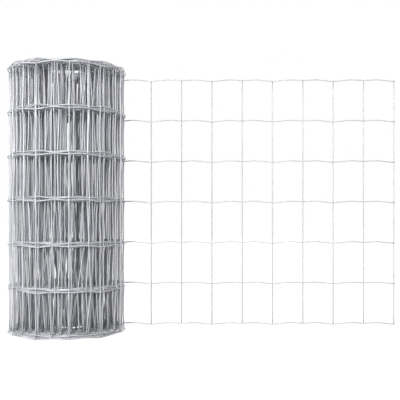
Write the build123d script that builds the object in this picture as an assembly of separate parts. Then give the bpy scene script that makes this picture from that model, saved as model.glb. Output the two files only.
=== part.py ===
"""Roll of welded wire fencing, standing on its end with its free end pulled out flat.

Millimetres, +Z up. The origin is on the roll's axis, at the level of the floor it stands on.
The flat stretch runs along +X, behind the axis (at +Y).
"""

from build123d import *
import math
import os

# Wire and mesh
wire_diameter = 2.5
wire_sides = 6
line_wire_count = 7
line_wire_spacing = 100.0
stay_spacing = 75.0
weld_sink = 0.4  # how far a stay is pressed into a line wire at their weld

# Tension crimps of a line wire, repeated every two meshes
crimp_crest = 3.7  # height of the two crests above the low stay
crimp_saddle = 2.2  # height at the stay between the crests
crimp_foot = 0.6  # height where the straight flank begins

# Wound roll
outer_radius = 137.0
bore_radius = 38.0
turn_pitch = 2.1  # small, because the wires of one turn nest between those of the next
nest_rise = 7.0  # how far nested turns ride up beside each other
nested_turns = 2  # neighbouring turns that show as one ridge on the roll's ends
valley_width = 2.2  # the valley between two ridges
valley_depth = 1.5
valley_facets = 14  # straight runs in one round of the valley

# Pulled-out stretch
free_end_reach = 790.0  # from the roll's axis to the last stay
leave_angle = 30.0  # where the outer turn leaves the roll, from +Y towards +X
bend_radius = 192.0  # of the line wires where they straighten out, bent back from the roll's curve

# Worked out from the values above
band_height = crimp_crest + wire_diameter + nest_rise
total_height = (line_wire_count - 1) * line_wire_spacing + band_height
barrel_radius = outer_radius - wire_diameter
stay_step_out = wire_diameter - weld_sink
line_radius = outer_radius - wire_diameter / 2 - stay_step_out
ridge_pitch = nested_turns * turn_pitch
inner_valley_radius = bore_radius + wire_diameter + valley_width / 2
outer_valley_radius = line_radius - ridge_pitch / 2
lead = math.radians(leave_angle)
bend_centre_x = (line_radius + bend_radius) * math.sin(lead)
bend_centre_y = (line_radius + bend_radius) * math.cos(lead)
flat_y = bend_centre_y - bend_radius
straight_run = free_end_reach - bend_centre_x
leave_run = straight_run + bend_radius * lead
crimp_wave = [
    (0.0, 0.0),
    (0.2, crimp_foot),
    (0.6, crimp_crest),
    (0.8, (crimp_crest + 2 * crimp_saddle) / 3),
    (1.0, crimp_saddle),
]


def turned_body():
    """The roll as one turned body round its open core, with a raised band at each line wire."""
    flank = wire_diameter / 2
    outline = [(bore_radius, 0.0)]
    for level in range(line_wire_count):
        foot = level * line_wire_spacing
        outline.append((barrel_radius, foot))
        outline.append((outer_radius, foot + flank))
        outline.append((outer_radius, foot + band_height - flank))
        outline.append((barrel_radius, foot + band_height))
    outline.append((bore_radius, total_height))
    with BuildPart() as body:
        with BuildSketch(Plane.XZ):
            with BuildLine():
                Polyline(*outline, close=True)
            make_face()
        revolve(axis=Axis.Z)
    return body.part


def turn_valley():
    """Spiral valley between the nested turns of the lower end, as the solid that is cut out there.

    It starts where the outer turn leaves the roll and winds inwards to the bore.
    """
    rounds = (outer_valley_radius - inner_valley_radius) / ridge_pitch
    points = []
    for step in range(int(rounds * valley_facets) + 1):
        share = step / valley_facets
        radius = outer_valley_radius - share * ridge_pitch
        angle = math.pi / 2 - lead + 2 * math.pi * share
        points.append((radius * math.cos(angle), radius * math.sin(angle), 0.0))
    path = Polyline(*points)
    # The foot is as far outside the end as the tip is inside it, so the mouth is half as wide
    tip = (valley_depth, 0.0)
    foot = [(-valley_depth, valley_width), (-valley_depth, -valley_width)]
    section = Plane(origin=path @ 0, z_dir=path % 0, x_dir=(0, 0, 1)) * Polygon(tip, *foot, align=None)
    return sweep(section, path=path, transition=Transition.RIGHT)


def wound_roll():
    """The turned body with its turns showing as a spiral on both ends."""
    valley = turn_valley()
    middle = Plane.XY.offset(total_height / 2)
    return turned_body() - valley - mirror(valley, about=middle)


def plan_point(run, aside=0.0):
    """Point of the stretch seen from above.

    run is the length along the line wires back from the last stay, and aside is the distance
    from them towards the roll's outside, where the stays are.
    """
    if run <= straight_run:
        return free_end_reach - run, flat_y + aside
    turned = (run - straight_run) / bend_radius
    reach = bend_radius - aside
    return bend_centre_x - reach * math.sin(turned), bend_centre_y - reach * math.cos(turned)


def crimp_height(meshes):
    """Height of a line wire's centre above its low level, a number of meshes from the last stay."""
    phase = meshes % 2.0
    share = min(phase, 2.0 - phase)
    for (start, low), (end, high) in zip(crimp_wave, crimp_wave[1:]):
        if share <= end:
            return low + (high - low) * (share - start) / (end - start)
    return crimp_saddle


def corner_angle(side, other_side, far_side):
    """Angle between two sides of a triangle, opposite its far side."""
    return math.acos((side**2 + other_side**2 - far_side**2) / (2 * side * other_side))


# Where a line wire comes out of the roll's bands, from the axis and along the wire
meet_angle = lead + corner_angle(line_radius + bend_radius, outer_radius, bend_radius)
meet_run = leave_run - bend_radius * corner_angle(line_radius + bend_radius, bend_radius, outer_radius)
stay_count = int((meet_run - 2 * wire_diameter) / stay_spacing) + 1


def line_wire():
    """The lowest line wire of the stretch, crimped, from its free tip to the roll's outer turn."""
    shares = [share for share, _ in crimp_wave[:-1]] + [2.0 - share for share, _ in crimp_wave[:0:-1]]
    stations = [-wire_diameter]
    mesh_pair = 0
    while 2 * mesh_pair * stay_spacing < leave_run:
        stations += [(2 * mesh_pair + share) * stay_spacing for share in shares]
        mesh_pair += 1
    stations = [run for run in stations if run < leave_run - wire_diameter] + [leave_run]
    points = []
    for run in stations:
        x, y = plan_point(run)
        points.append((x, y, wire_diameter / 2 + crimp_height(max(run, 0.0) / stay_spacing)))
    path = Polyline(*points)
    # A corner of the wire's section points at the stays and a flat points up
    sideways = (path % 0).cross(Vector(0, 0, 1))
    section = Plane(origin=path @ 0, z_dir=path % 0, x_dir=sideways) * RegularPolygon(
        wire_diameter / 2, wire_sides
    )
    wire = sweep(section, path=path, transition=Transition.RIGHT)
    outward = Vector(math.sin(meet_angle), math.cos(meet_angle), 0)
    return split(wire, bisect_by=Plane(origin=outward * outer_radius, z_dir=outward), keep=Keep.TOP)


def stay(number):
    """One upright stay, counted from the free end, standing on the outside of the line wires."""
    run = number * stay_spacing
    x, y = plan_point(run, stay_step_out)
    foot = crimp_height(number)
    height = (line_wire_count - 1) * line_wire_spacing + wire_diameter
    section = Pos(x, y, foot) * RegularPolygon(wire_diameter / 2, wire_sides)
    return extrude(section, amount=height)


def pulled_out_stretch():
    """The free end of the mesh, fused at its welds, up to where it joins the roll's outer turn."""
    first = line_wire()
    line_wires = [Pos(0, 0, level * line_wire_spacing) * first for level in range(line_wire_count)]
    stays = [stay(number) for number in range(stay_count)]
    return Part() + line_wires + stays


os.makedirs("parts", exist_ok=True)
export_step(wound_roll(), "parts/wound_roll.step")
export_step(pulled_out_stretch(), "parts/pulled_out_stretch.step")
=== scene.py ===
"""Roll of galvanised wire fencing, standing on its end with its free end pulled out flat.

Every wire is modelled: seven crimped line wires that run from the free end to the roll's core,
the upright stays on their outside, and the zinc that has pooled round each weld.

Lengths are in metres and angles in radians. A place along the mesh is called its run, which is
measured back from the stay at the free end.
"""

import logging
import math
import random
from dataclasses import dataclass
from enum import Enum

import bmesh
import bpy
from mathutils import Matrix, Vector


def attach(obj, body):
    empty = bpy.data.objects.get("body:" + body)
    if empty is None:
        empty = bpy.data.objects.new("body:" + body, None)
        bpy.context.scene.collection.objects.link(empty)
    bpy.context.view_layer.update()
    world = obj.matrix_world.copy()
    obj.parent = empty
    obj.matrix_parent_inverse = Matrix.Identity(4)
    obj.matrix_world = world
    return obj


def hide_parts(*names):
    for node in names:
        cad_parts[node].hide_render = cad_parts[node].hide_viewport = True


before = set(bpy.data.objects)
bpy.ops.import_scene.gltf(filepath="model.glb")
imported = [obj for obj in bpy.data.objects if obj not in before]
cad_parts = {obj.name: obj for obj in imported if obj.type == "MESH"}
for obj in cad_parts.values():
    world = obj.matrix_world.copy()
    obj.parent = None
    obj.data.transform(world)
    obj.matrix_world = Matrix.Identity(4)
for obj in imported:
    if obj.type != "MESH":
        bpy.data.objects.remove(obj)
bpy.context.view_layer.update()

LOG = logging.getLogger("wire_fencing")
MM = 0.001
UP = Vector((0.0, 0.0, 1.0))
WHITE = (1.0, 1.0, 1.0, 1.0)
BODY = "root"
CAD_NODES = ("wound_roll", "pulled_out_stretch")
WIRE_MAP = "along_wire"
WIRE_TONE = "wire_tone"
PHOTO_WIDTH = 400
# How finely the rings of points along a wire are told apart
RINGS_PER_METRE = 1.0e6
# Bevel of a wire's cut end, as a share of its radius
CUT_ROUNDING = 0.28


def eased(share: float) -> float:
    """Turns a share into one that starts and ends gently, held between 0 and 1."""
    held = min(max(share, 0.0), 1.0)
    return held * held * (3.0 - 2.0 * held)


def bulge(share: float) -> float:
    """Rises from 0 at the ends of a span to 1 at its middle, as a sprung wire does."""
    return 4.0 * share * (1.0 - share)


class SmoothNoise:
    """Smooth uneven curve, the same on every run."""

    def __init__(self, seed: int, count: int = 512) -> None:
        """Draws the values that the curve passes through before it repeats."""
        draw = random.Random(seed)
        self.values = [draw.uniform(-1.0, 1.0) for _ in range(count)]

    def at(self, place: float) -> float:
        """Reads the curve.

        Args:
            place: Position along the curve, one unit from value to value.

        Returns:
            A number between -1 and 1.
        """
        start = math.floor(place)
        first = self.values[start % len(self.values)]
        second = self.values[(start + 1) % len(self.values)]
        return first + (second - first) * eased(place - start)

    def share_at(self, place: float) -> float:
        """Reads the curve as a share between 0 and 1."""
        return 0.5 + 0.5 * self.at(place)


@dataclass(frozen=True)
class MeshSizes:
    """Sizes of the welded mesh."""

    wire_diameter: float = 2.5 * MM
    line_wires: int = 7
    line_spacing: float = 100.0 * MM
    stay_spacing: float = 75.0 * MM
    # How far a stay is pressed into a line wire at their weld
    weld_sink: float = 0.4 * MM
    # Heights of a crimp's two crests and of the stay between them, and where the crests are in a mesh
    crimp_crest: float = 3.7 * MM
    crimp_saddle: float = 2.2 * MM
    crest_at: float = 0.6

    @property
    def wire_radius(self) -> float:
        """Radius of every wire."""
        return self.wire_diameter / 2

    @property
    def stay_step_out(self) -> float:
        """Distance from the line wires' centres out to the stays' centres."""
        return self.wire_diameter - self.weld_sink

    def crimp_height(self, meshes: float) -> float:
        """Height of a line wire above its low level, as its tension crimps lift it.

        Args:
            meshes: Place along the wire, in meshes back from the free end's stay.

        Returns:
            The height. The wave repeats every two meshes.
        """
        phase = max(meshes, 0.0) % 2.0
        share = min(phase, 2.0 - phase)
        if share < self.crest_at:
            return self.crimp_crest * eased(share / self.crest_at)
        fall = eased((share - self.crest_at) / (1.0 - self.crest_at))
        return self.crimp_crest + (self.crimp_saddle - self.crimp_crest) * fall


@dataclass(frozen=True)
class Nesting:
    """How the stays of one turn stand between those of its neighbours."""

    # Angle from where the mesh leaves the roll to the roll's front
    front: float = math.radians(220.7)
    # How far the stays move on from turn to turn there, as a share of a mesh, and by how much it varies
    turn_share: float = 0.4545
    scatter: float = 0.08
    scatter_seed: int = 700
    # Angle over which the outer turn starts to slip
    starts_over: float = 2.0
    # How far a stay is off its even place along the mesh, either way
    stay_play: float = 2.0 * MM
    play_seed: int = 5000


@dataclass(frozen=True)
class Looseness:
    """How loosely wound mesh strays from an even spiral."""

    # Angles over which the mesh settles into the roll, its stays bow and its turns loosen
    settles_over: float = 1.6
    bows_over: float = 0.8
    loosens_over: float = 16.0
    # Share of a turn after which it steps in to the next one
    step_in_at: float = 0.84
    # How far the turns are drawn in, and how far a line wire springs out between two stays
    draw_in: float = 1.2 * MM
    spring_out: float = 3.3 * MM
    # How far a stay bows inwards between two line wires
    bow_in: float = 1.5 * MM
    # How far in a line wire sits, and how quickly that changes round the roll
    uneven_depth: float = 2.0 * MM
    depth_rate: float = 1.3
    depth_seed: int = 100
    # How far turns ride up beside each other, as a wave that repeats every second turn
    nest_rise: float = 6.9 * MM
    rise_middle: float = 0.5
    rise_swing: float = 0.6
    rise_turns: float = 2.0
    rise_start: float = 1.0
    # How unevenly they do so outside, how much more so inside, and over which angle that grows
    wander_outside: float = 0.2
    wander_added: float = 0.5
    wander_grows_over: float = 20.0
    wander_rate: float = 1.1
    wander_seed: int = 11
    # How far each line wire, from the bottom up, wanders round the roll, so that the stays lean
    leans: tuple[float, ...] = (8.5 * MM, 11.0 * MM, 8.0 * MM, 5.0 * MM, 3.5 * MM, 4.0 * MM, 4.5 * MM)
    lean_rate: float = 0.8
    lean_seed: int = 200


@dataclass(frozen=True)
class WearAndPaintedShade:
    """How bright the zinc is along the mesh, as shares of the brightest: worn on the handled free end, and
    darkened by painted shade towards the core.
    """

    # Angle over which the handled free end passes into the roll
    fresh_over: float = 3.0
    handled_loss: float = 0.45
    handled_unevenness: float = 0.35
    # Painted shade: loss of brightness towards the core, standing in for the shade between the wound turns,
    # and the angle over which it grows
    painted_core_shade: float = 0.45
    core_shade_grows_over: float = 100.0


@dataclass
class Course:
    """The way that the mesh takes, from its free end round the roll to the core."""

    sizes: MeshSizes
    nesting: Nesting = Nesting()
    looseness: Looseness = Looseness()
    wear_and_shade: WearAndPaintedShade = WearAndPaintedShade()
    outer_radius: float = 137.0 * MM
    core_radius: float = 38.0 * MM
    turn_pitch: float = 2.1 * MM
    free_end_reach: float = 790.0 * MM
    leave_angle: float = math.radians(30.0)
    bend_radius: float = 192.0 * MM

    def __post_init__(self) -> None:
        """Works out the lengths along the mesh and the unevenness of its turns."""
        reach = self.line_radius + self.bend_radius
        self.bend_centre = Vector((math.sin(self.leave_angle), math.cos(self.leave_angle))) * reach
        self.straight_run = self.free_end_reach - self.bend_centre.x
        self.leave_run = self.straight_run + self.bend_radius * self.leave_angle
        self.inner_radius = self.core_radius + self.sizes.wire_radius
        self.wound_run = (self.line_radius**2 - self.inner_radius**2) * math.pi / self.turn_pitch
        self.total_run = self.leave_run + self.wound_run
        self.slips = self.even_slips()
        levels = range(self.sizes.line_wires)
        self.wander_noise = SmoothNoise(self.looseness.wander_seed)
        self.depth_noises = [SmoothNoise(self.looseness.depth_seed + level) for level in levels]
        self.lean_noises = [SmoothNoise(self.looseness.lean_seed + level) for level in levels]

    @property
    def line_radius(self) -> float:
        """Radius of the outermost turn's line wires, at their centres."""
        return self.outer_radius - self.sizes.wire_radius - self.sizes.stay_step_out

    def turned(self, run: float) -> float:
        """Angle wound since the mesh met the roll.

        Args:
            run: Place along the mesh.

        Returns:
            The angle, 0 on the pulled-out stretch.
        """
        wound = min(max(run - self.leave_run, 0.0), self.wound_run)
        inside = self.line_radius**2 - self.turn_pitch * wound / math.pi
        return (self.line_radius - math.sqrt(inside)) * math.tau / self.turn_pitch

    def even_slips(self) -> list[float]:
        """Works out how far each turn has slipped, so that its stays stand between its neighbours'.

        Returns:
            Distances round the roll, for the places where the turns pass its front.
        """
        draw = random.Random(self.nesting.scatter_seed)
        slips = []
        meshes = 0.0
        for turn in range(math.ceil(self.turned(self.total_run) / math.tau) + 2):
            radius = self.line_radius - self.turn_pitch * (turn + self.nesting.front / math.tau)
            run = self.leave_run + (self.line_radius**2 - radius**2) * math.pi / self.turn_pitch
            wanted = turn * self.nesting.turn_share + draw.uniform(-1.0, 1.0) * self.nesting.scatter
            off = run / self.sizes.stay_spacing - wanted - meshes
            meshes += off - round(off)
            slips.append(meshes * self.sizes.stay_spacing)
        return slips

    def slipped(self, turned: float) -> float:
        """Distance that the mesh has slipped round the roll.

        Args:
            turned: Angle wound since the mesh met the roll.

        Returns:
            The distance.
        """
        turn, part = divmod((turned - self.nesting.front) / math.tau, 1.0)
        first = self.slips[max(int(turn), 0)]
        second = self.slips[int(turn) + 1]
        return (first + (second - first) * part) * eased(turned / self.nesting.starts_over)

    def at_level(self, run: float, level: int, aside: float = 0.0) -> Vector:
        """Point on or beside a line wire, at its low level.

        Args:
            run: Place along the mesh.
            level: Which line wire, 0 at the bottom.
            aside: Distance out from the line wire's centre, towards the stays.

        Returns:
            The point in the part's frame.
        """
        base = level * self.sizes.line_spacing + self.sizes.wire_radius
        if run <= self.straight_run:
            y = self.bend_centre.y - self.bend_radius + aside
            return Vector((self.free_end_reach - run, y, base))
        if run <= self.leave_run:
            bent = (run - self.straight_run) / self.bend_radius
            reach = self.bend_radius - aside
            x = self.bend_centre.x - reach * math.sin(bent)
            return Vector((x, self.bend_centre.y - reach * math.cos(bent), base))
        return self.at_wound_level(run, level, aside, base)

    def at_wound_level(self, run: float, level: int, aside: float, base: float) -> Vector:
        """Point on or beside a line wire in the roll, with the unevenness of wound mesh.

        Args:
            run: Place along the mesh.
            level: Which line wire, 0 at the bottom.
            aside: Distance out from the line wire's centre, towards the stays.
            base: Height of the wire's low level.

        Returns:
            The point in the part's frame.
        """
        loose = self.looseness
        turned = self.turned(run)
        loosened = eased(turned / loose.loosens_over)
        share = (run / self.sizes.stay_spacing) % 1.0
        spring = loose.spring_out * bulge(share) if aside == 0.0 else 0.0
        depth = loose.uneven_depth * self.depth_noises[level].share_at(turned * loose.depth_rate) * loosened
        shift = (spring - depth - loose.draw_in) * eased(turned / loose.settles_over)
        radius = max(self.stepped_radius(turned) + shift, self.inner_radius)
        lean = loose.leans[level] * self.lean_noises[level].at(turned * loose.lean_rate) * loosened
        angle = math.pi / 2 - self.leave_angle + turned + (lean + self.slipped(turned)) / radius
        reach = radius + aside
        height = base + self.risen(turned)
        return Vector((reach * math.cos(angle), reach * math.sin(angle), height))

    def stepped_radius(self, turned: float) -> float:
        """Radius of the turns, which keep it round most of the roll and then step in.

        Args:
            turned: Angle wound since the mesh met the roll.

        Returns:
            The radius of an evenly wound line wire.
        """
        step_in_at = self.looseness.step_in_at
        turns, part = divmod(turned / math.tau, 1.0)
        stepped = turns + eased((part - step_in_at) / (1.0 - step_in_at))
        return self.line_radius - self.turn_pitch * stepped

    def risen(self, turned: float) -> float:
        """How far the mesh rides up beside the turns that it nests with.

        Args:
            turned: Angle wound since the mesh met the roll.

        Returns:
            The height above the mesh's own level.
        """
        loose = self.looseness
        unevenness = loose.wander_outside + loose.wander_added * eased(turned / loose.wander_grows_over)
        wander = self.wander_noise.at(turned * loose.wander_rate) * unevenness
        wave = math.cos(turned / loose.rise_turns + loose.rise_start)
        share = eased(loose.rise_middle + loose.rise_swing * wave + wander)
        return loose.nest_rise * share * eased(turned / loose.settles_over)

    def stay_run(self, number: int) -> float:
        """Place of a stay along the mesh, a little off its even spacing in the roll.

        Args:
            number: The stay, counted from the free end.

        Returns:
            The place.
        """
        run = number * self.sizes.stay_spacing
        draw = random.Random(self.nesting.play_seed + number)
        off = draw.uniform(-1.0, 1.0) * self.nesting.stay_play
        return min(run + off * eased(self.turned(run) / self.looseness.settles_over), self.total_run)

    def tone(self, run: float, value: float) -> float:
        """Brightness of the zinc: bright on the roll's outer turns, duller on the handled free end, and
        darkened towards the core as painted shade.

        Args:
            run: Place along the mesh.
            value: Uneven brightness between 0 and 1.

        Returns:
            Brightness between 0 and 1.
        """
        worn_and_shaded = self.wear_and_shade
        turned = self.turned(run)
        fresh = eased(turned / worn_and_shaded.fresh_over)
        unevenness = worn_and_shaded.handled_unevenness + (1.0 - worn_and_shaded.handled_unevenness) * fresh
        handled = worn_and_shaded.handled_loss * (1.0 - fresh)
        # Painted shade: the inner turns are darkened, standing in for the light that the outer turns keep
        # from them
        painted_shade = worn_and_shaded.painted_core_shade * eased(turned / worn_and_shaded.core_shade_grows_over)
        return 1.0 - (1.0 - value) * unevenness - handled - painted_shade

    def on_stay(self, run: float, level: float) -> Vector:
        """Centre of a stay, which is straight from weld to weld but for a slight bow inwards.

        Args:
            run: The stay's place along the mesh.
            level: Height on it, in line wires from the bottom.

        Returns:
            The point in the part's frame, without the crimps' height.
        """
        low = min(int(level), self.sizes.line_wires - 2)
        share = level - low
        below = self.at_level(run, low, self.sizes.stay_step_out)
        above = self.at_level(run, low + 1, self.sizes.stay_step_out)
        point = below.lerp(above, share)
        if run > self.leave_run:
            inwards = Vector((-point.x, -point.y, 0.0)).normalized()
            bowed = eased(self.turned(run) / self.looseness.bows_over)
            point += inwards * self.looseness.bow_in * math.sin(math.pi * share) * bowed
        return point


def straight_wire(radius: float, sides: int, start: float, end: float, pieces: int) -> bmesh.types.BMesh:
    """Makes a straight round wire along X, with cut ends, ready to be bent.

    Args:
        radius: Radius of the wire.
        sides: Sides of its section.
        start: Where the wire starts along X.
        end: Where it ends.
        pieces: How many pieces it is divided into along its length.

    Returns:
        The wire, with a map of the length along it and the share of the way round it.
    """
    wire = bmesh.new()
    bmesh.ops.create_cone(
        wire, cap_ends=True, segments=sides, radius1=radius, radius2=radius, depth=end - start
    )
    long_edges = [edge for edge in wire.edges if edge.calc_length() > (end - start) / 2]
    bmesh.ops.subdivide_edges(wire, edges=long_edges, cuts=pieces - 1, use_grid_fill=True)
    for vert in wire.verts:
        vert.co = Vector((vert.co.z + (start + end) / 2, vert.co.x, vert.co.y))
    caps = [face for face in wire.faces if len(face.verts) > 4]
    rims = list({edge for cap in caps for edge in cap.edges})
    offset = radius * CUT_ROUNDING
    bmesh.ops.bevel(
        wire, geom=rims, offset=offset, segments=1, affect="EDGES", profile=0.5, material=-1
    )
    bmesh.ops.recalc_face_normals(wire, faces=wire.faces[:])
    layer = wire.loops.layers.uv.new(WIRE_MAP)
    for face in wire.faces:
        face.smooth = len(face.verts) == 4
        middle = face.calc_center_median()
        around = math.atan2(middle.z, middle.y) / math.tau
        for loop in face.loops:
            share = math.atan2(loop.vert.co.z, loop.vert.co.y) / math.tau
            loop[layer].uv = (loop.vert.co.x, share - round(share - around))
    return wire


def finished_piece(shape: bmesh.types.BMesh, name: str, finish: bpy.types.Material) -> bpy.types.Object:
    """Turns a modelled shape into a dressed piece of the part.

    Args:
        shape: The shape, which is used up.
        name: The piece's name.
        finish: Its material.

    Returns:
        The piece, riding on the part's body.
    """
    data = bpy.data.meshes.new(name)
    shape.to_mesh(data)
    shape.free()
    data.materials.append(finish)
    piece = bpy.data.objects.new(name, data)
    bpy.context.scene.collection.objects.link(piece)
    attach(piece, BODY)
    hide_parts(*CAD_NODES)
    LOG.info("%s: %d points, %d faces", name, len(data.vertices), len(data.polygons))
    return piece


@dataclass
class LineWires:
    """The crimped line wires, each in one length from the free end to the core."""

    sizes: MeshSizes
    course: Course
    sides: int = 8
    pieces_per_mesh: int = 7
    # How far a line wire stands out past the free end's stay
    tip: float = 2.2 * MM
    # How quickly the zinc's brightness changes along a wire, and how far apart the wires' curves are
    tone_rate: float = 3.0
    tone_step: float = 40.0
    tone_seed: int = 31

    def build(self, finish: bpy.types.Material) -> list[bpy.types.Object]:
        """Builds every line wire.

        Args:
            finish: The wires' material.

        Returns:
            The pieces, from the bottom up.
        """
        end = self.course.total_run
        count = math.ceil(end / self.sizes.stay_spacing) * self.pieces_per_mesh
        template = straight_wire(self.sizes.wire_radius, self.sides, -self.tip, end, count)
        tone_noise = SmoothNoise(self.tone_seed)
        pieces = []
        for level in range(self.sizes.line_wires):
            wire = template.copy()
            self.bend(wire, level, tone_noise)
            pieces.append(finished_piece(wire, f"line_wire_{level + 1}", finish))
        template.free()
        return pieces

    def bend(self, wire: bmesh.types.BMesh, level: int, tone_noise: SmoothNoise) -> None:
        """Bends a straight wire to its course, one ring of its points after another.

        Args:
            wire: The straight wire, along X.
            level: Which line wire it becomes, 0 at the bottom.
            tone_noise: How the brightness of its zinc varies.
        """
        tone = wire.verts.layers.float.new(WIRE_TONE)
        rings: dict[int, list[bmesh.types.BMVert]] = {}
        for vert in wire.verts:
            rings.setdefault(round(vert.co.x * RINGS_PER_METRE), []).append(vert)
        step = self.sizes.wire_radius
        for ring in rings.values():
            run = ring[0].co.x
            centre = self.centre(run, level)
            ahead = (self.centre(run + step, level) - self.centre(run - step, level)).normalized()
            outward = ahead.cross(UP).normalized()
            upward = outward.cross(ahead)
            uneven = tone_noise.share_at(run * self.tone_rate + level * self.tone_step)
            # The tone includes the painted shade that darkens the inner turns
            value = self.course.tone(run, uneven)
            for vert in ring:
                vert.co = centre - outward * vert.co.y + upward * vert.co.z
                vert[tone] = value

    def centre(self, run: float, level: int) -> Vector:
        """Centre of a line wire.

        Args:
            run: Place along the mesh, which may lie a little past its end at the core.
            level: Which line wire, 0 at the bottom.

        Returns:
            The point, with the crimps' height.
        """
        past = max(run - self.course.total_run, 0.0)
        point = self.course.at_level(run - past, level)
        around = Vector((-point.y, point.x, 0.0)).normalized()
        return point + around * past + UP * self.sizes.crimp_height(run / self.sizes.stay_spacing)


class StayGroup(Enum):
    """Where along the mesh a stay is."""

    STRETCH = "stretch_stays"
    OUTER = "outer_turn_stays"
    MIDDLE = "middle_turn_stays"
    INNER = "inner_turn_stays"


@dataclass
class Stays:
    """The upright stays, on the outside of the line wires."""

    sizes: MeshSizes
    course: Course
    sides: int = 8
    pieces_per_level: int = 3
    # Half the width, depth and height of a weld's bead
    bead_sizes: tuple[float, float, float] = (1.5 * MM, 1.0 * MM, 1.25 * MM)

    def numbers(self) -> range:
        """Counts the stays from the free end to the core."""
        return range(int(self.course.total_run / self.sizes.stay_spacing) + 1)

    def group(self, number: int) -> StayGroup:
        """Says where a stay is.

        Args:
            number: The stay, counted from the free end.

        Returns:
            Its group.
        """
        share = (number * self.sizes.stay_spacing - self.course.leave_run) / self.course.wound_run
        if share < 0.0:
            return StayGroup.STRETCH
        wound = (StayGroup.OUTER, StayGroup.MIDDLE, StayGroup.INNER)
        return wound[min(int(share * len(wound)), len(wound) - 1)]

    def build(self, finish: bpy.types.Material) -> list[bpy.types.Object]:
        """Builds the stays, one joined piece for each group.

        Args:
            finish: The wires' material.

        Returns:
            The pieces.
        """
        levels = self.sizes.line_wires - 1
        length = levels * self.sizes.line_spacing
        count = levels * self.pieces_per_level
        shape = straight_wire(self.sizes.wire_radius, self.sides, 0.0, length, count)
        template = bpy.data.meshes.new("straight_stay")
        shape.to_mesh(template)
        shape.free()
        pieces = []
        for group in StayGroup:
            joined = bmesh.new()
            joined.verts.layers.float.new(WIRE_TONE)
            for number in self.numbers():
                if self.group(number) is group:
                    self.add(joined, template, number)
            pieces.append(finished_piece(joined, group.value, finish))
        bpy.data.meshes.remove(template)
        return pieces

    def add(self, joined: bmesh.types.BMesh, template: bpy.types.Mesh, number: int) -> None:
        """Adds one stay to its group's mesh, bent to its place.

        Args:
            joined: The group's mesh.
            template: A straight stay along X.
            number: The stay, counted from the free end.
        """
        start = len(joined.verts)
        joined.from_mesh(template)
        joined.verts.ensure_lookup_table()
        tone = joined.verts.layers.float[WIRE_TONE]
        run = self.course.stay_run(number)
        # The tone includes the painted shade that darkens the inner turns
        value = self.course.tone(run, random.Random(number).random())
        foot = self.sizes.crimp_height(float(number))
        top = self.sizes.line_wires - 1.0
        middle = top * self.sizes.line_spacing / 2
        for vert in joined.verts[start:]:
            level = min(max(vert.co.x / self.sizes.line_spacing, 0.0), top)
            from_end = middle - abs(vert.co.x - middle)
            past = self.sizes.wire_radius * (1.0 - eased(from_end / self.sizes.wire_diameter))
            past = math.copysign(past, vert.co.x - middle)
            vert.co = self.course.on_stay(run, level) + Vector((vert.co.y, vert.co.z, foot + past))
            vert[tone] = value

    def build_welds(self, finish: bpy.types.Material) -> bpy.types.Object:
        """Builds the flattened beads of metal and zinc at the welds.

        Args:
            finish: The wires' material.

        Returns:
            The piece.
        """
        shape = bmesh.new()
        bmesh.ops.create_icosphere(shape, subdivisions=1, radius=1.0)
        shape.loops.layers.uv.new(WIRE_MAP)
        shape.verts.layers.float.new(WIRE_TONE)
        for face in shape.faces:
            face.smooth = True
        template = bpy.data.meshes.new("bead")
        shape.to_mesh(template)
        shape.free()
        joined = bmesh.new()
        for number in self.numbers():
            for level in range(self.sizes.line_wires):
                self.add_weld(joined, template, number, level)
        bpy.data.meshes.remove(template)
        bmesh.ops.recalc_face_normals(joined, faces=joined.faces[:])
        return finished_piece(joined, "weld_beads", finish)

    def add_weld(
        self, joined: bmesh.types.BMesh, template: bpy.types.Mesh, number: int, level: int
    ) -> None:
        """Adds one bead.

        Args:
            joined: The mesh of all beads.
            template: A round bead of radius 1.
            number: The stay, counted from the free end.
            level: The line wire, 0 at the bottom.
        """
        run = self.course.stay_run(number)
        inside = self.course.at_level(run, level)
        outside = self.course.at_level(run, level, self.sizes.stay_step_out)
        centre = (inside + outside) / 2 + UP * self.sizes.crimp_height(float(number))
        outward = (outside - inside).normalized()
        along = UP.cross(outward)
        wide, deep, tall = self.bead_sizes
        start = len(joined.verts)
        joined.from_mesh(template)
        joined.verts.ensure_lookup_table()
        for vert in joined.verts[start:]:
            aside = along * vert.co.x * wide + outward * vert.co.y * deep
            vert.co = centre + aside + UP * vert.co.z * tall


class Worth:
    """A node's output, used in Python sums that become Math nodes."""

    def __init__(self, nodes: "Nodes", socket: bpy.types.NodeSocket) -> None:
        """Wraps a socket of a node tree."""
        self.nodes = nodes
        self.socket = socket

    def sum(self, operation: str, first: "Worth | float", second: "Worth | float") -> "Worth":
        """Adds a Math node for two values."""
        sockets = {"Value": first, "Value_001": second}
        return self.nodes.add("ShaderNodeMath", {"operation": operation}, sockets)

    def __add__(self, other: "Worth | float") -> "Worth":
        """Adds."""
        return self.sum("ADD", self, other)

    def __radd__(self, other: float) -> "Worth":
        """Adds to a number."""
        return self.sum("ADD", other, self)

    def __sub__(self, other: "Worth | float") -> "Worth":
        """Subtracts."""
        return self.sum("SUBTRACT", self, other)

    def __rsub__(self, other: float) -> "Worth":
        """Subtracts from a number."""
        return self.sum("SUBTRACT", other, self)

    def __mul__(self, other: "Worth | float") -> "Worth":
        """Multiplies."""
        return self.sum("MULTIPLY", self, other)

    def __rmul__(self, other: float) -> "Worth":
        """Multiplies a number."""
        return self.sum("MULTIPLY", other, self)

    def cosine(self) -> "Worth":
        """Takes the cosine."""
        return self.sum("COSINE", self, 0.0)

    def sine(self) -> "Worth":
        """Takes the sine."""
        return self.sum("SINE", self, 0.0)

    def larger(self, other: "Worth | float") -> "Worth":
        """Takes the larger of two."""
        return self.sum("MAXIMUM", self, other)

    def between(self, low: float, high: float) -> "Worth":
        """Share of the way from one value to another, eased and held between 0 and 1."""
        sockets = {"Value": self, "From Min": low, "From Max": high}
        return self.nodes.add("ShaderNodeMapRange", {"interpolation_type": "SMOOTHSTEP"}, sockets)


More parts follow.
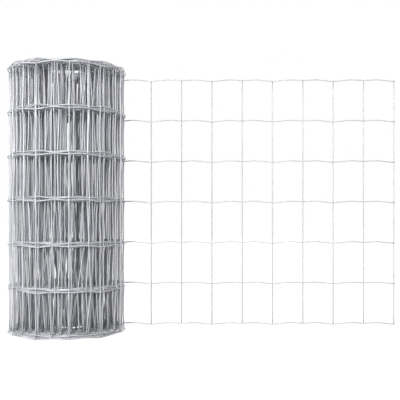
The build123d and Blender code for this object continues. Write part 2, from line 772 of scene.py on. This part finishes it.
class Nodes:
    """A node tree that is filled from Python."""

    def __init__(self, tree: bpy.types.NodeTree) -> None:
        """Empties the tree."""
        self.tree = tree
        tree.nodes.clear()

    def add(
        self, kind: str, settings: dict[str, object], sockets: dict[str, object], output: str | int = 0
    ) -> Worth | None:
        """Adds a node.

        Args:
            kind: The node's type.
            settings: Its settings, which are made first.
            sockets: Values or links of its inputs, by identifier or name.
            output: Which of its outputs is given back.

        Returns:
            The output, or nothing for a node that has none.
        """
        node = self.tree.nodes.new(kind)
        for name, value in settings.items():
            setattr(node, name, value)
        for key, value in sockets.items():
            matching = [socket for socket in node.inputs if socket.identifier == key]
            socket = matching[0] if matching else node.inputs[key]
            if isinstance(value, Worth):
                self.tree.links.new(value.socket, socket)
            else:
                socket.default_value = value
        if not node.outputs:
            return None
        outputs = {socket.identifier: socket for socket in node.outputs}
        return Worth(self, outputs.get(output) or node.outputs[output])

    def noise(self, place: Worth, scale: float, detail: float) -> Worth:
        """Adds a noise texture."""
        sockets = {"Vector": place, "Scale": scale, "Detail": detail}
        return self.add("ShaderNodeTexNoise", {}, sockets)

    def part(self, vector: Worth, axis: str) -> Worth:
        """Takes one part of a vector or a colour."""
        return self.add("ShaderNodeSeparateXYZ", {}, {"Vector": vector}, axis)

    def mixed(self, share: Worth, first: object, second: object) -> Worth:
        """Mixes two colours, by the share of the second."""
        sockets = {"Factor_Float": share, "A_Color": first, "B_Color": second}
        return self.add("ShaderNodeMix", {"data_type": "RGBA"}, sockets, "Result_Color")


@dataclass(frozen=True)
class ZincFinish:
    """Hot-dip zinc on drawn wire: soft spangle, drawn streaks and pale dry patches, with the painted shade
    that the wires' tone carries.
    """

    name: str = "galvanised_wire"
    bright: tuple[float, float, float, float] = (0.82, 0.83, 0.86, 1.0)
    # The dull end is the zinc's own dull grey, and also takes the painted shade of the inner turns through
    # the wires' tone
    dull_and_shaded: tuple[float, float, float, float] = (0.36, 0.37, 0.40, 1.0)
    dry: tuple[float, float, float, float] = (0.74, 0.75, 0.77, 1.0)
    # Streaks along the wire: their places are stretched by these along it and round it
    streaks_along: float = 45.0
    streaks_around: float = 1.6
    streak_scale: float = 2.2
    streak_detail: float = 3.0
    cloud_scale: float = 38.0
    cloud_detail: float = 2.0
    spangle_scale: float = 420.0
    patch_scale: float = 130.0
    patch_detail: float = 3.0
    # Noise values between which a streak or cloud turns bright, and a patch dry
    brightens: tuple[float, float] = (0.3, 0.7)
    dries: tuple[float, float] = (0.56, 0.72)
    # What each adds to the brightness, and how much of a dry patch is covered
    base_share: float = 0.1
    streak_share: float = 0.2
    cloud_share: float = 0.15
    grain_share: float = 0.1
    tone_share: float = 0.4
    dry_cover: float = 0.7
    # What each adds to the relief
    streak_relief: float = 0.6
    grain_relief: float = 0.25
    patch_relief: float = 0.4
    relief_strength: float = 0.35
    relief_depth: float = 0.15 * MM
    metallic: float = 0.3
    dry_metallic_loss: float = 0.15
    roughness: float = 0.34
    grain_roughness: float = 0.12
    dry_roughness: float = 0.2

    def material(self) -> bpy.types.Material:
        """Builds the material.

        Returns:
            The material, which reads the wires' map and tone.
        """
        material = bpy.data.materials.new(self.name)
        material.use_nodes = True
        nodes = Nodes(material.node_tree)
        place = nodes.add("ShaderNodeTexCoord", {}, {}, "Object")
        tone = nodes.add("ShaderNodeAttribute", {"attribute_name": WIRE_TONE}, {}, "Fac")
        streaks = self.streaks(nodes)
        clouds = nodes.noise(place, self.cloud_scale, self.cloud_detail)
        cells = {"Vector": place, "Scale": self.spangle_scale}
        spangle = nodes.add("ShaderNodeTexVoronoi", {"feature": "F1"}, cells, "Color")
        grains = nodes.part(spangle, "X")
        patches = nodes.noise(place, self.patch_scale, self.patch_detail)
        dryness = patches.between(*self.dries)
        # The wires' tone carries the painted shade that darkens the inner turns towards the core
        brightness = (
            streaks.between(*self.brightens) * self.streak_share
            + clouds.between(*self.brightens) * self.cloud_share
            + grains * self.grain_share
            + tone * self.tone_share
            + self.base_share
        )
        metal = nodes.mixed(brightness, self.dull_and_shaded, self.bright)
        colour = nodes.mixed(dryness * self.dry_cover, metal, self.dry)
        relief = streaks * self.streak_relief + grains * self.grain_relief + patches * self.patch_relief
        depths = {"Height": relief, "Strength": self.relief_strength, "Distance": self.relief_depth}
        surface = {
            "Base Color": colour,
            "Metallic": self.metallic - dryness * self.dry_metallic_loss,
            "Roughness": self.roughness + grains * self.grain_roughness + dryness * self.dry_roughness,
            "Normal": nodes.add("ShaderNodeBump", {}, depths),
        }
        shader = nodes.add("ShaderNodeBsdfPrincipled", {}, surface)
        nodes.add("ShaderNodeOutputMaterial", {}, {"Surface": shader})
        return material

    def streaks(self, nodes: Nodes) -> Worth:
        """Adds the streaks that drawing leaves along the wire.

        Args:
            nodes: The finish's node tree.

        Returns:
            Their noise, between 0 and 1.
        """
        wire_map = nodes.add("ShaderNodeUVMap", {"uv_map": WIRE_MAP}, {})
        around = nodes.part(wire_map, "Y") * math.tau
        sockets = {
            "X": nodes.part(wire_map, "X") * self.streaks_along,
            "Y": around.cosine() * self.streaks_around,
            "Z": around.sine() * self.streaks_around,
        }
        drawn = nodes.add("ShaderNodeCombineXYZ", {}, sockets)
        return nodes.noise(drawn, self.streak_scale, self.streak_detail)


@dataclass(frozen=True)
class Softbox:
    """A square soft light."""

    name: str
    place: tuple[float, float, float]
    width: float
    watts: float


@dataclass
class Studio:
    """Plain pale floor, soft light and the camera."""

    # Where the camera stands, in millimetres
    camera_place: tuple[float, float, float] = (310.5, -1650.0, 275.5)
    # The lens's focal length and the picture's shift, both in pixels of the photograph
    focal_pixels: float = 704.0
    horizon_drop: float = 13.1
    # Width of the camera's sensor, in millimetres
    sensor: float = 36.0
    # Strength of the light from all round
    surroundings: float = 0.06
    floor_size: float = 60.0
    floor_paint: float = 0.8
    # Share of the floor that shows plain white to the camera, beside the share that takes a shadow
    floor_glow_share: float = 0.75
    softboxes: tuple[Softbox, ...] = (
        Softbox("key_light", (-0.4, -5.7, 1.6), 0.6, 224.0),
        Softbox("top_light", (0.4, -1.8, 5.2), 2.8, 56.0),
        Softbox("side_light", (-4.9, -3.1, 1.6), 1.2, 106.0),
        Softbox("back_light", (0.6, 5.6, 2.0), 1.6, 56.0),
    )
    softbox_aim: tuple[float, float, float] = (0.2, 0.0, 0.3)

    def build(self) -> None:
        """Builds everything round the object."""
        self.build_camera()
        self.build_world()
        self.build_floor()
        for softbox in self.softboxes:
            self.hang(softbox)

    def build_camera(self) -> None:
        """Places the camera at the photograph's angle, looking level along +Y."""
        data = bpy.data.cameras.new("camera")
        data.sensor_width = self.sensor
        data.lens = self.focal_pixels / PHOTO_WIDTH * self.sensor
        data.shift_y = self.horizon_drop / PHOTO_WIDTH
        camera = bpy.data.objects.new("camera", data)
        camera.location = Vector(self.camera_place) * MM
        camera.rotation_euler = (math.pi / 2, 0.0, 0.0)
        bpy.context.scene.collection.objects.link(camera)
        bpy.context.scene.camera = camera

    def seen_directly(self, nodes: Nodes) -> Worth:
        """Says whether a ray is one that shows the background.

        Args:
            nodes: The node tree that asks.

        Returns:
            1 for rays from the camera or from shiny and clear surfaces, otherwise 0.
        """
        rays = [
            nodes.add("ShaderNodeLightPath", {}, {}, kind)
            for kind in ("Is Camera Ray", "Is Glossy Ray", "Is Transmission Ray")
        ]
        return rays[0].larger(rays[1]).larger(rays[2])

    def build_world(self) -> None:
        """Makes surroundings that look white and light the object softly."""
        world = bpy.data.worlds.new("studio")
        world.use_nodes = True
        bpy.context.scene.world = world
        nodes = Nodes(world.node_tree)
        strength = self.surroundings + self.seen_directly(nodes) * (1.0 - self.surroundings)
        light = nodes.add("ShaderNodeBackground", {}, {"Color": WHITE, "Strength": strength})
        nodes.add("ShaderNodeOutputWorld", {}, {"Surface": light})

    def build_floor(self) -> None:
        """Lays a pale floor that keeps a faint shadow."""
        shape = bmesh.new()
        bmesh.ops.create_grid(shape, x_segments=1, y_segments=1, size=self.floor_size / 2)
        data = bpy.data.meshes.new("floor")
        shape.to_mesh(data)
        shape.free()
        floor = bpy.data.objects.new("floor", data)
        bpy.context.scene.collection.objects.link(floor)
        material = bpy.data.materials.new("pale_floor")
        material.use_nodes = True
        data.materials.append(material)
        nodes = Nodes(material.node_tree)
        paint = (self.floor_paint,) * 3 + (1.0,)
        lit = nodes.add("ShaderNodeBsdfDiffuse", {}, {"Color": paint})
        share = self.floor_glow_share
        strength = (1.0 - (1.0 - share) * self.floor_paint * self.surroundings) / share
        glow = nodes.add("ShaderNodeEmission", {}, {"Strength": strength})
        factor = self.seen_directly(nodes) * share
        parts = {"Fac": factor, "Shader": lit, "Shader_001": glow}
        both = nodes.add("ShaderNodeMixShader", {}, parts)
        nodes.add("ShaderNodeOutputMaterial", {}, {"Surface": both})

    def hang(self, softbox: Softbox) -> None:
        """Hangs a soft light that faces the roll.

        Args:
            softbox: The light.
        """
        data = bpy.data.lights.new(softbox.name, "AREA")
        data.size = softbox.width
        data.energy = softbox.watts
        light = bpy.data.objects.new(softbox.name, data)
        light.location = softbox.place
        aim = Vector(self.softbox_aim) - Vector(softbox.place)
        light.rotation_euler = aim.to_track_quat("-Z", "Y").to_euler()
        bpy.context.scene.collection.objects.link(light)


def main() -> None:
    """Builds the fencing and its studio."""
    logging.basicConfig(level=logging.INFO, format="%(name)s: %(message)s")
    bpy.context.scene.view_settings.view_transform = "Standard"
    sizes = MeshSizes()
    course = Course(sizes)
    turns = course.turned(course.total_run) / math.tau
    LOG.info("mesh length %.2f m, %.1f turns", course.total_run, turns)
    finish = ZincFinish().material()
    LineWires(sizes, course).build(finish)
    stays = Stays(sizes, course)
    stays.build(finish)
    stays.build_welds(finish)
    Studio().build()


if __name__ == "__main__":
    main()
